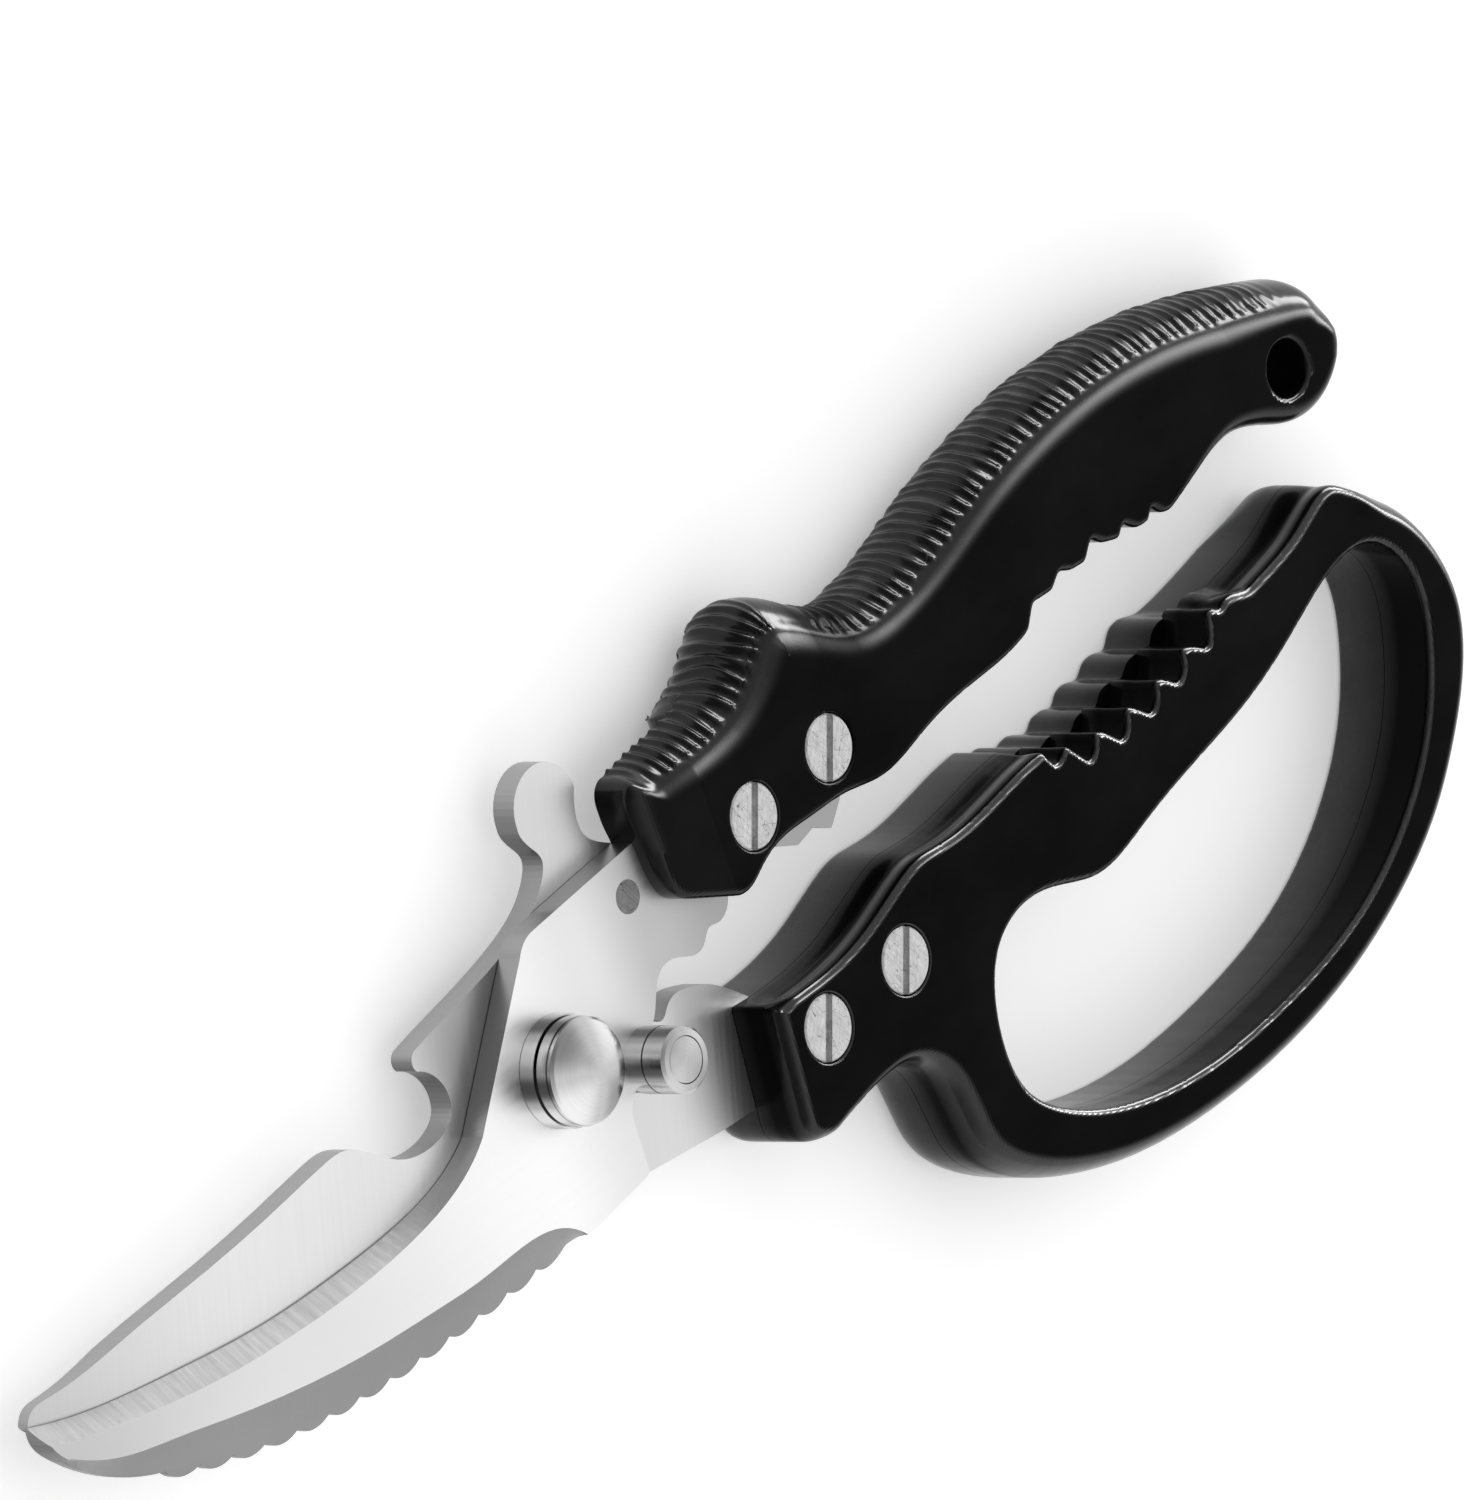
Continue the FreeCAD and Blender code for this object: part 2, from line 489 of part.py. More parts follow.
def latch_spring():
    """Compression spring round the pin, under the button's head."""
    end_gap = SPRING_WIRE_R + 0.02
    low = LATCH_SEAT + end_gap
    high = LATCH_TOP - LATCH_HEAD_T - end_gap
    helix = Part.makeHelix((high - low) / SPRING_TURNS, high - low, SPRING_R)
    section = Part.Wire(Part.makeCircle(SPRING_WIRE_R, V(SPRING_R, 0, 0), V(0, 1, 0)))
    coil = Part.Wire(helix.Edges).makePipeShell([section], True, True)
    coil.translate(V(*LATCH_CENTRE, low))
    return coil


def build():
    """Every piece by node name, drawn round the pivot."""
    base_low = FRONT_TOP + SIDE_FIT
    base_top = 5.55
    spring_washer_top = 5.85
    ring_top = PIVOT_HEAD_LOW - SIDE_FIT
    back_low = HANDLE_LOW + PIVOT_NUT_T + SIDE_FIT
    hole = PIVOT_SHAFT_R + RING_FIT
    pieces = {
        "front_blade": front_blade(),
        "back_blade": back_blade(),
        "upper_handle_front_shell": upper_handle(True),
        "upper_handle_back_shell": upper_handle(False),
        "lower_handle_front_shell": lower_handle(True),
        "lower_handle_back_shell": lower_handle(False),
        "pivot_bolt": pivot_bolt(),
        "pivot_base_washer": ring((0, 0), PIVOT_BASE_R, hole, base_low, base_top),
        "pivot_spring_washer": ring((0, 0), PIVOT_SPRING_WASHER_R, hole, base_top,
                                    spring_washer_top),
        "pivot_ring": ring((0, 0), PIVOT_RING_R, hole, spring_washer_top, ring_top),
        "pivot_back_washer": ring((0, 0), PIVOT_BACK_WASHER_R, hole, back_low, BACK_LOW),
        "pivot_nut": pivot_nut(),
        "latch_collar": latch_collar(),
        "latch_housing": latch_housing(),
        "latch_button": latch_button(),
        "latch_spring": latch_spring(),
        "blade_flush_pin": disc(FLUSH_PIN_CENTRE, FLUSH_PIN_R, FRONT_LOW, FRONT_TOP),
    }
    for handle, centres in (("upper", UPPER_SCREWS), ("lower", LOWER_SCREWS)):
        for place_name, centre in zip(("front", "rear"), centres):
            pieces[f"{handle}_handle_{place_name}_screw"] = handle_screw(centre)
            pieces[f"{handle}_handle_{place_name}_nut"] = barrel_nut(centre)
    return pieces


def place(pieces):
    """Move every piece so that the origin is the middle of the underside of the whole."""
    whole = FreeCAD.BoundBox()
    for shape in pieces.values():
        whole.add(shape.optimalBoundingBox(False))
    shift = V(-whole.Center.x, -whole.Center.y, -whole.ZMin)
    for shape in pieces.values():
        shape.translate(shift)
    print(f"pivot at {shift.x:.3f}, {shift.y:.3f}; blade plane at {shift.z:.3f}")
    print(f"size {whole.XLength:.2f} x {whole.YLength:.2f} x {whole.ZLength:.2f}")


os.makedirs("parts", exist_ok=True)
parts = build()
place(parts)
for name, shape in parts.items():
    print(f"{name}: valid {shape.isValid()}, solids {len(shape.Solids)}, {shape.Volume:.1f} mm3")
    shape.exportStep(f"parts/{name}.step")
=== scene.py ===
import json
import math

import bmesh
import bpy
import numpy as np
from mathutils import Matrix, Vector, kdtree, noise


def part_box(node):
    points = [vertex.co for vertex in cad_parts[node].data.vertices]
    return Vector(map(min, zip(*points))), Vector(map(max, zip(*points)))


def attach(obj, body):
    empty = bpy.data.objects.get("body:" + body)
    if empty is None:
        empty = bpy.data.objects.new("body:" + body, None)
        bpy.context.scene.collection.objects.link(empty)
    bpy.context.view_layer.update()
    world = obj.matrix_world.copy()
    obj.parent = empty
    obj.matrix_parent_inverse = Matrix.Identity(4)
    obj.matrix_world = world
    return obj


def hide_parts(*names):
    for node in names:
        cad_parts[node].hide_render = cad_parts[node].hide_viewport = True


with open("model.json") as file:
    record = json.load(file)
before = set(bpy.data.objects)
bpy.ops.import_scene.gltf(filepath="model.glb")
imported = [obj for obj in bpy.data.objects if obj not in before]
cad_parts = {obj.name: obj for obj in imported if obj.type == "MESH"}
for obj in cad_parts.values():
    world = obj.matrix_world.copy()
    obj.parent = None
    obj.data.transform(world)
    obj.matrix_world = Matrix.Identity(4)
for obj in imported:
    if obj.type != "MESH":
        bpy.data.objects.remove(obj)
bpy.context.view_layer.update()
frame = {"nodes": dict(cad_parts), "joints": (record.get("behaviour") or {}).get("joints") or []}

MM = 0.001
NODES = frame["nodes"]
JOINTS = {joint["name"]: joint for joint in frame["joints"]}
PIVOT = Vector(JOINTS["blade_pivot"]["pos_m"])
HALF_T = (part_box("upper_handle_front_shell")[1].z - PIVOT.z) / MM   # handle, from the blade plane
SEAM_T = (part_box("lower_handle_front_shell")[0].z - PIVOT.z) / MM


# ---- camera, floor and light ----
VIEW_TURN = math.radians(27)         # of the shears, within the picture
VIEW_TILT = 0.683                    # cosine of the tilt away from a plan view
FRAME_HEIGHT = 0.1744                # metres across the picture's long side
LENS = 1700.0
ALONG = Vector((math.cos(VIEW_TURN), -math.sin(VIEW_TURN), 0))
ACROSS = Vector((math.sin(VIEW_TURN), math.cos(VIEW_TURN), 0))
UP = Vector((0, 0, 1))


def make_camera():
    """A long lens from the front and the left, rolled so that the blades point down left."""
    data = bpy.data.cameras.new("camera")
    data.lens = LENS
    data.sensor_width = 36.0
    data.clip_start = 0.1
    data.clip_end = 50.0
    camera = bpy.data.objects.new("camera", data)
    bpy.context.scene.collection.objects.link(camera)
    right = ALONG * VIEW_TILT + UP * math.sqrt(1 - VIEW_TILT ** 2)
    back = right.cross(ACROSS)
    aim = PIVOT + Vector((47.1, 17.7, 0)) * MM
    distance = FRAME_HEIGHT * LENS / data.sensor_width
    camera.matrix_world = Matrix((
        (right.x, ACROSS.x, back.x, aim.x + back.x * distance),
        (right.y, ACROSS.y, back.y, aim.y + back.y * distance),
        (right.z, ACROSS.z, back.z, aim.z + back.z * distance),
        (0, 0, 0, 1),
    ))
    bpy.context.scene.camera = camera


def make_strip(name, start, end, width, radiance):
    """A soft strip lamp for the black handles, between two directions along, across and up."""
    far = 1.2
    first, last = [(ALONG * way[0] + ACROSS * way[1] + UP * way[2]).normalized() for way in (start, end)]
    back = (first + last).normalized()
    along = (last - first).normalized()
    data = bpy.data.lights.new(name, "AREA")
    data.shape = "RECTANGLE"
    data.size = (last - first).length * far
    data.size_y = width * far
    data.energy = radiance * math.pi * data.size * data.size_y
    lamp = bpy.data.objects.new(name, data)
    bpy.context.scene.collection.objects.link(lamp)
    aim = PIVOT + Vector((40, 0, 0)) * MM
    turn = Matrix((along, back.cross(along), back)).transposed()
    lamp.matrix_world = Matrix.Translation(aim + back * far) @ turn.to_4x4()
    lamp.light_linking.receiver_collection = HANDLES


def make_world():
    """Bright studio surround, dark low down on the side where the camera stands."""
    world = bpy.data.worlds.new("studio")
    bpy.context.scene.world = world
    world.use_nodes = True
    tree = world.node_tree
    coord = tree.nodes.new("ShaderNodeTexCoord")
    dot = tree.nodes.new("ShaderNodeVectorMath")
    dot.operation = "DOT_PRODUCT"
    dot.inputs[1].default_value = ALONG * -0.93 + UP * -0.37
    tree.links.new(coord.outputs["Generated"], dot.inputs[0])
    ramp = tree.nodes.new("ShaderNodeValToRGB")
    first, last = ramp.color_ramp.elements
    first.position, first.color = 0.0, (1, 1, 1, 1)
    last.position, last.color = 0.6, (0.2, 0.2, 0.2, 1)
    tree.links.new(dot.outputs["Value"], ramp.inputs["Fac"])
    background = tree.nodes["Background"]
    tree.links.new(ramp.outputs["Color"], background.inputs["Color"])
    background.inputs["Strength"].default_value = 1.0


def make_floor():
    """A plain pale floor under the backs of the handles."""
    size, drop = 4.0, 0.00005
    mesh = bpy.data.meshes.new("floor")
    corners = [(-size, -size, -drop), (size, -size, -drop), (size, size, -drop), (-size, size, -drop)]
    mesh.from_pydata(corners, [], [(0, 1, 2, 3)])
    floor = bpy.data.objects.new("floor", mesh)
    bpy.context.scene.collection.objects.link(floor)
    material = bpy.data.materials.new("floor_white")
    material.use_nodes = True
    shader = material.node_tree.nodes["Principled BSDF"]
    shader.inputs["Base Color"].default_value = (0.93, 0.93, 0.93, 1)
    shader.inputs["Roughness"].default_value = 0.9
    shader.inputs["Specular IOR Level"].default_value = 0.1
    shader.inputs["Emission Color"].default_value = (1, 1, 1, 1)
    shader.inputs["Emission Strength"].default_value = 0.30
    mesh.materials.append(material)


# ---- materials ----
class Shader:
    """A Principled material with short calls for the nodes that it needs."""

    def __init__(self, name):
        self.material = bpy.data.materials.new(name)
        self.material.use_nodes = True
        self.tree = self.material.node_tree
        self.bsdf = self.tree.nodes["Principled BSDF"]
        self.coords = self.tree.nodes.new("ShaderNodeTexCoord").outputs["Object"]
        self.normal = self.tree.nodes.new("ShaderNodeNewGeometry").outputs["True Normal"]

    def put(self, **values):
        """Set sockets by name, with underscores for spaces."""
        for key, value in values.items():
            self.bsdf.inputs[key.replace("_", " ")].default_value = value
        return self

    def link(self, socket, name):
        """Feed one of the Principled shader's inputs."""
        self.tree.links.new(socket, self.bsdf.inputs[name])

    def stretched(self, scale, turn=0.0):
        """Object coordinates in millimetres times scale, turned about Z by degrees."""
        turned = self.tree.nodes.new("ShaderNodeVectorRotate")
        turned.rotation_type = "Z_AXIS"
        turned.inputs["Angle"].default_value = math.radians(-turn)
        turned.inputs["Center"].default_value = PIVOT
        mapping = self.tree.nodes.new("ShaderNodeMapping")
        mapping.vector_type = "POINT"
        mapping.inputs["Scale"].default_value = [value / MM for value in scale]
        self.tree.links.new(self.coords, turned.inputs["Vector"])
        self.tree.links.new(turned.outputs["Vector"], mapping.inputs["Vector"])
        return mapping.outputs["Vector"]

    def noise(self, vector, detail=3.0, rough=0.5):
        """Noise between 0 and 1, with features about one unit of the vector apart."""
        node = self.tree.nodes.new("ShaderNodeTexNoise")
        node.inputs["Scale"].default_value = 1.0
        node.inputs["Detail"].default_value = detail
        node.inputs["Roughness"].default_value = rough
        self.tree.links.new(vector, node.inputs["Vector"])
        return node.outputs["Fac"]

    def spread(self, value, low, high, start=0.3, end=0.7):
        """Map a value between start and end to a value between low and high."""
        node = self.tree.nodes.new("ShaderNodeMapRange")
        node.inputs["From Min"].default_value = start
        node.inputs["From Max"].default_value = end
        node.inputs["To Min"].default_value = low
        node.inputs["To Max"].default_value = high
        self.tree.links.new(value, node.inputs["Value"])
        return node.outputs["Result"]

    def maths(self, operation, first, second=None):
        """One sum on sockets or numbers."""
        node = self.tree.nodes.new("ShaderNodeMath")
        node.operation = operation
        for socket, value in zip(node.inputs, (first, second)):
            if value is None:
                continue
            if isinstance(value, (int, float)):
                socket.default_value = value
            else:
                self.tree.links.new(value, socket)
        return node.outputs["Value"]

    def grey(self, value, low, high):
        """Colour ramp between two greys."""
        node = self.tree.nodes.new("ShaderNodeValToRGB")
        for element, level in zip(node.color_ramp.elements, (low, high)):
            element.color = (level, level, level, 1)
        self.tree.links.new(value, node.inputs["Fac"])
        return node.outputs["Color"]

    def product(self, first, second):
        """Two colours multiplied."""
        node = self.tree.nodes.new("ShaderNodeMix")
        node.data_type = "RGBA"
        node.blend_type = "MULTIPLY"
        node.inputs["Factor"].default_value = 1.0
        self.tree.links.new(first, node.inputs[6])
        self.tree.links.new(second, node.inputs[7])
        return node.outputs[2]

    def mix_colour(self, fac, first, second):
        """The first colour where the factor is 0, the second where it is 1."""
        node = self.tree.nodes.new("ShaderNodeMix")
        node.data_type = "RGBA"
        self.tree.links.new(fac, node.inputs["Factor"])
        self.tree.links.new(first, node.inputs[6])
        self.tree.links.new(second, node.inputs[7])
        return node.outputs[2]

    def mix_value(self, fac, first, second):
        """The first value where the factor is 0, the second where it is 1."""
        node = self.tree.nodes.new("ShaderNodeMix")
        node.data_type = "FLOAT"
        self.tree.links.new(fac, node.inputs["Factor"])
        self.tree.links.new(first, node.inputs[2])
        self.tree.links.new(second, node.inputs[3])
        return node.outputs[0]

    def bump(self, height, strength, distance_mm):
        """Fine relief in the shading."""
        node = self.tree.nodes.new("ShaderNodeBump")
        node.inputs["Strength"].default_value = strength
        node.inputs["Distance"].default_value = distance_mm * MM
        self.tree.links.new(height, node.inputs["Height"])
        self.link(node.outputs["Normal"], "Normal")

    def part_of_normal(self, way):
        """How far the true normal points a given way."""
        dot = self.tree.nodes.new("ShaderNodeVectorMath")
        dot.operation = "DOT_PRODUCT"
        dot.inputs[1].default_value = way
        self.tree.links.new(self.normal, dot.inputs[0])
        return dot.outputs["Value"]

    def ramp(self, value, stops):
        """Grey ramp through (position, level) stops, smoothly."""
        node = self.tree.nodes.new("ShaderNodeValToRGB")
        node.color_ramp.interpolation = "EASE"
        elements = node.color_ramp.elements
        while len(elements) < len(stops):
            elements.new(0.5)
        for element, (position, level) in zip(elements, stops):
            element.position = position
            element.color = (level, level, level, 1)
        self.tree.links.new(value, node.inputs["Fac"])
        return node.outputs["Color"]

    def along(self, start, end, axis=0):
        """0 to 1 between two places along an axis, in mm round the pivot."""
        parts = self.tree.nodes.new("ShaderNodeSeparateXYZ")
        self.tree.links.new(self.coords, parts.inputs["Vector"])
        first, last = (PIVOT[axis] + place * MM for place in (start, end))
        return self.spread(parts.outputs[axis], 0.0, 1.0, first, last)


def blade_steel(name, stops, grain, grain_turn, grain_depth, rough, relief):
    """Satin steel: a broad painted sheen along the blade (painted reflection, with painted shade in
    places), fine grain, ground bevels, smooth edges. The walls' grey by facing and the scaler bevel's
    darker grey are painted shade.
    """
    steel = Shader(name).put(Metallic=1.0)
    fine = steel.noise(steel.stretched(grain, grain_turn), 4.0, 0.6)
    broad = steel.noise(steel.stretched((0.02, 0.05, 0.2)), 2.0)
    ground = steel.noise(steel.stretched((1.3, 0.10, 0.12), -22.0), 4.0, 0.65)
    level = steel.part_of_normal((0, 0, 1))
    flat = steel.spread(steel.maths("ABSOLUTE", level), 0.0, 1.0, 0.975, 0.99)
    wall = steel.spread(steel.maths("ABSOLUTE", level), 1.0, 0.0, 0.25, 0.45)
    cutting = steel.spread(steel.part_of_normal((0, 1, 0)), 0.0, 1.0, -0.02, 0.02)
    # Painted sheen: lighter and darker bands along the blade stand in for its reflection and for shade.
    painted_sheen = steel.ramp(steel.along(-100, 60), stops)
    grainy = steel.grey(steel.spread(fine, 0.0, 1.0), 1.0 - grain_depth, 1.0)
    face = steel.product(steel.product(painted_sheen, grainy), steel.grey(broad, 0.92, 1.06))
    marks = steel.grey(ground, 0.30, 0.85)
    # The scaler bevel is painted a darker grey than the face, as painted shade for its tilted face.
    scaler = steel.grey(broad, 0.22, 0.36)
    # Painted shade and reflection on the walls: their grey depends on which way they face.
    side = steel.ramp(steel.spread(steel.part_of_normal((-0.3, 0.9, 0)), 0, 1, -1, 1),
                      ((0.0, 0.34), (0.35, 0.13), (0.7, 0.20), (1.0, 0.36)))
    bevel = steel.mix_colour(cutting, scaler, marks)
    colour = steel.mix_colour(flat, bevel, face)
    steel.link(steel.mix_colour(wall, colour, side), "Base Color")
    steel.link(steel.mix_value(flat, steel.spread(ground, 0.26, 0.36),
                               steel.spread(fine, rough - 0.03, rough + 0.04)), "Roughness")
    steel.bump(steel.mix_value(flat, steel.maths("MULTIPLY", ground, cutting), fine), relief, 0.01)
    return steel.material


def turned_steel(name, centre, rough, painted_band_dark, bow_radius, painted_face_stops):
    """Lathe-turned steel: fine rings round an upright axis, with a painted bow-tie reflection on the face
    and painted bands of reflection and shade on the walls.
    """
    steel = Shader(name).put(Metallic=1.0)
    offset = steel.tree.nodes.new("ShaderNodeVectorMath")
    offset.operation = "SUBTRACT"
    offset.inputs[1].default_value = centre
    steel.tree.links.new(steel.coords, offset.inputs[0])
    parts = steel.tree.nodes.new("ShaderNodeSeparateXYZ")
    steel.tree.links.new(offset.outputs["Vector"], parts.inputs["Vector"])
    square = steel.maths("ADD", steel.maths("MULTIPLY", parts.outputs["X"], parts.outputs["X"]),
                         steel.maths("MULTIPLY", parts.outputs["Y"], parts.outputs["Y"]))
    radius = steel.maths("MULTIPLY", steel.maths("SQRT", square), 1 / MM)
    joined = steel.tree.nodes.new("ShaderNodeCombineXYZ")
    steel.tree.links.new(steel.maths("MULTIPLY", radius, 3.5), joined.inputs["X"])
    steel.tree.links.new(steel.maths("MULTIPLY", parts.outputs["Z"], 4.0 / MM), joined.inputs["Y"])
    rings = steel.noise(joined.outputs["Vector"], 3.0, 0.6)
    smudge = steel.noise(steel.stretched((0.3, 0.3, 0.3)), 3.0)
    # Painted reflection: the face's bow-tie and the walls' bands of light and shade follow the angle
    # round the axis.
    angle = steel.maths("ARCTAN2", parts.outputs["Y"], parts.outputs["X"])
    swing = steel.maths("COSINE", steel.maths("SUBTRACT", steel.maths("MULTIPLY", angle, 2.0), 1.1))
    outer = steel.spread(radius, 0.0, 1.0, 0.0, bow_radius)
    painted_bow_tie = steel.mix_value(outer, steel.spread(smudge, 0.45, 0.6),
                          steel.spread(swing, 0.0, 1.0, -1.0, 1.0))
    painted_bands = steel.maths("COSINE", steel.maths("ADD", steel.maths("MULTIPLY", angle, 5.0), 0.6))
    face = steel.ramp(painted_bow_tie, painted_face_stops)
    # Painted bands of reflection and shade on the walls, down to the darkest level given.
    side = steel.ramp(steel.spread(painted_bands, 0.0, 1.0, -1.0, 1.0),
                      ((0.0, painted_band_dark), (0.5, 0.48), (1.0, 0.85)))
    wall = steel.spread(steel.maths("ABSOLUTE", steel.part_of_normal((0, 0, 1))), 1.0, 0.0, 0.15, 0.5)
    base = steel.mix_colour(wall, face, side)
    steel.link(steel.product(base, steel.grey(rings, 0.82, 1.0)), "Base Color")
    steel.link(steel.spread(smudge, rough - 0.04, rough + 0.06), "Roughness")
    steel.bump(rings, 0.2, 0.02)
    return steel.material


def scuffed_steel(name, low, high):
    """Light grey screw steel with fine scratches, a few deeper ones and dull patches."""
    steel = Shader(name).put(Metallic=1.0)
    first = steel.noise(steel.stretched((3.5, 0.25, 1.0), 30.0), 4.0, 0.7)
    second = steel.noise(steel.stretched((0.3, 3.0, 1.0), 55.0), 4.0, 0.7)
    patch = steel.noise(steel.stretched((0.6, 0.6, 0.6)), 4.0, 0.6)
    marks = steel.maths("MULTIPLY", first, second)
    torn = steel.noise(steel.stretched((0.9, 0.5, 0.9), 20.0), 1.0, 0.5)
    scratch = steel.spread(steel.maths("ABSOLUTE", steel.maths("SUBTRACT", torn, 0.5)),
                           0.35, 1.0, 0.0, 0.012)
    tone = steel.grey(steel.spread(steel.maths("ADD", marks, steel.maths("MULTIPLY", patch, 0.5)),
                                   0.0, 1.0, 0.3, 0.75), low, high)
    steel.link(steel.product(tone, steel.grey(scratch, 0.0, 1.0)), "Base Color")
    steel.link(steel.spread(patch, 0.35, 0.55), "Roughness")
    steel.bump(marks, 0.6, 0.06)
    return steel.material


def black_plastic(name):
    """Glossy black moulding; the finger handle's sides are duller and greyer towards the back, the grey
    being painted light on their back part.
    """
    plastic = Shader(name)
    haze = plastic.noise(plastic.stretched((0.05, 0.08, 0.1)), 4.0, 0.6)
    speck = plastic.noise(plastic.stretched((1.1, 1.1, 1.1)), 3.0, 0.6)
    level = plastic.maths("ABSOLUTE", plastic.part_of_normal((0, 0, 1)))
    wall = plastic.spread(level, 1, 0, 0.1, 0.5)
    finger_handle = plastic.along(6.0, 2.0, 1)
    finger_side = plastic.maths("MULTIPLY", wall, finger_handle)
    towards_back = plastic.along(2.5, -6.0, 2)
    gloss = plastic.spread(towards_back, 0.03, 0.4, 0.0, 1.0)
    flat = plastic.spread(level, 0.0, 1.0, 0.9, 1.0)
    saddle = plastic.maths("MULTIPLY", plastic.along(54.0, 58.0), plastic.along(70.0, 64.0))
    palm_edge = plastic.mix_value(saddle, plastic.spread(haze, 0.24, 0.30),
                                  plastic.spread(haze, 0.02, 0.03))
    edge = plastic.mix_value(finger_handle, palm_edge, plastic.spread(haze, 0.45, 0.55))
    plain = plastic.mix_value(flat, edge, plastic.spread(haze, 0.002, 0.010))
    plastic.link(plastic.mix_value(finger_side, plain, gloss), "Specular IOR Level")
    # Painted light: the finger handle's sides are painted greyer towards the back, standing in for the
    # light falling on them.
    painted_light_band = plastic.maths("MULTIPLY", plastic.maths("MULTIPLY", finger_side, towards_back),
                         plastic.spread(haze, 0.4, 1.0))
    plastic.link(plastic.mix_colour(painted_light_band, plastic.grey(haze, 0.002, 0.004),
                                    plastic.grey(speck, 0.030, 0.050)), "Base Color")
    soft = plastic.spread(level, 0.0, 0.12, 0.75, 0.97)
    ripple = plastic.spread(plastic.maths("ADD", plastic.maths("MULTIPLY", haze, 0.7),
                                          plastic.maths("MULTIPLY", speck, 0.3)), 0.15, 0.23)
    plastic.link(plastic.maths("ADD", ripple, soft), "Roughness")
    plastic.bump(speck, 0.06, 0.02)
    return plastic.material


def dress(node, material):
    """Give a CAD node its material."""
    mesh = NODES[node].data
    mesh.materials.clear()
    mesh.materials.append(material)


# ---- handle shells ----
# They are shaped in mm round the pivot, with heights from the blade plane, front or back face
# up. set_in_place then moves them to the part.
VOXEL = 0.42                         # size of the even faces that each half starts from
OUTLINE_STEP = 0.12                  # between the points of an outline
SECTION_HEIGHT = 3.5                 # the CAD halves are cut here for their outlines
SCREW_BORE_LENGTH = 20               # outlines up to this long are screw bores, and left out
BACK_START = (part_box("upper_handle_back_shell")[0].x - PIVOT.x) / MM
HOLE_REACH = 1.0                     # the edge of a hole is rounded within this distance
GRIP_MIDDLE = (90.0, 31.0)           # ribs are counted from here
RIB_PITCH = 1.72
RIB_HEIGHT = 0.42
NOSE_BUMP_X = 57.5                   # the top of the bump has no ribs
# Along the palm handle: how wide its crown is, the y where the crown begins on a side, and the
# height of the slope at its nose. Each is x places first, then the values there.
CROWN_WIDTH = ([22, 32, 40, 45, 50, 57, 61, 66, 72, 80, 112, 138, 150],
               [4.9, 5.8, 6.6, 6.8, 7.4, 7.6, 7.0, 6.2, 5.8, 5.7, 6.1, 6.6, 5.0])
CROWN_FOOT = ([22, 35, 60, 90, 120, 150], [20, 17, 18, 20, 23, 19])
NOSE_SLOPE = ([22.4, 24.2, 32.5], [5.2, 6.5, HALF_T])


def section_loops(node, height):
    """Closed loops of x, y in mm round the pivot where a level plane cuts a CAD node."""
    work = bmesh.new()
    work.from_mesh(NODES[node].data)
    bmesh.ops.remove_doubles(work, verts=work.verts, dist=1e-7)
    everything = work.verts[:] + work.edges[:] + work.faces[:]
    cut = bmesh.ops.bisect_plane(work, geom=everything, dist=1e-8, plane_co=(0, 0, PIVOT.z + height * MM),
                                 plane_no=(0, 0, 1), clear_inner=True, clear_outer=True)
    edges = [item for item in cut["geom_cut"] if isinstance(item, bmesh.types.BMEdge)]
    waiting = dict.fromkeys(vert for edge in edges for vert in edge.verts)
    keep = set(edges)
    loops = []
    while waiting:
        here = next(iter(waiting))
        loop = []
        while here is not None:
            del waiting[here]
            loop.append(here)
            following = [edge.other_vert(here) for edge in here.link_edges
                         if edge in keep and edge.other_vert(here) in waiting]
            here = following[0] if following else None
        loops.append(np.array([((v.co.x - PIVOT.x) / MM, (v.co.y - PIVOT.y) / MM) for v in loop]))
    work.free()
    return sorted(loops, key=perimeter, reverse=True)


def perimeter(loop):
    """Length of a closed loop."""
    return float(np.linalg.norm(np.roll(loop, -1, 0) - loop, axis=1).sum())


def area(loop):
    """Area inside a closed loop, above 0 if it runs anticlockwise."""
    following = np.roll(loop, -1, 0)
    return float((loop[:, 0] * following[:, 1] - loop[:, 1] * following[:, 0]).sum()) / 2


def sampled(loop, step):
    """Even points along a loop, with inward normals of the plate and the run of each point."""
    following = np.roll(loop, -1, 0)
    lengths = np.linalg.norm(following - loop, axis=1)
    reach = np.concatenate([[0], np.cumsum(lengths)])
    count = int(reach[-1] / step)
    at = np.arange(count) * reach[-1] / count
    closed = np.vstack([loop, loop[:1]])
    points = np.stack([np.interp(at, reach, closed[:, axis]) for axis in (0, 1)], 1)
    way = np.roll(points, -2, 0) - np.roll(points, 2, 0)
    way /= np.linalg.norm(way, axis=1)[:, None]
    normals = np.stack([-way[:, 1], way[:, 0]], 1)
    return points, normals, at


def softened(loop, body):
    """Round the corners of a loop as a moulding does, most of all on the nutcracker teeth."""
    reach, tooth_reach = 0.35, 0.6
    points, _, _ = sampled(loop, OUTLINE_STEP)
    on_teeth = np.zeros((len(points), 1))
    if body == "lower":
        on_teeth[:, 0] = (points[:, 0] > 87) & (points[:, 0] < 124) & (points[:, 1] > -9)
    turns, tooth_turns = [(radius / OUTLINE_STEP) ** 2 * 2 for radius in (reach, tooth_reach)]
    for turn in range(int(tooth_turns)):
        weight = 1.0 if turn < turns else on_teeth
        spread = (points * 2 + np.roll(points, 1, 0) + np.roll(points, -1, 0)) / 4
        points = points + (spread - points) * weight
    return points


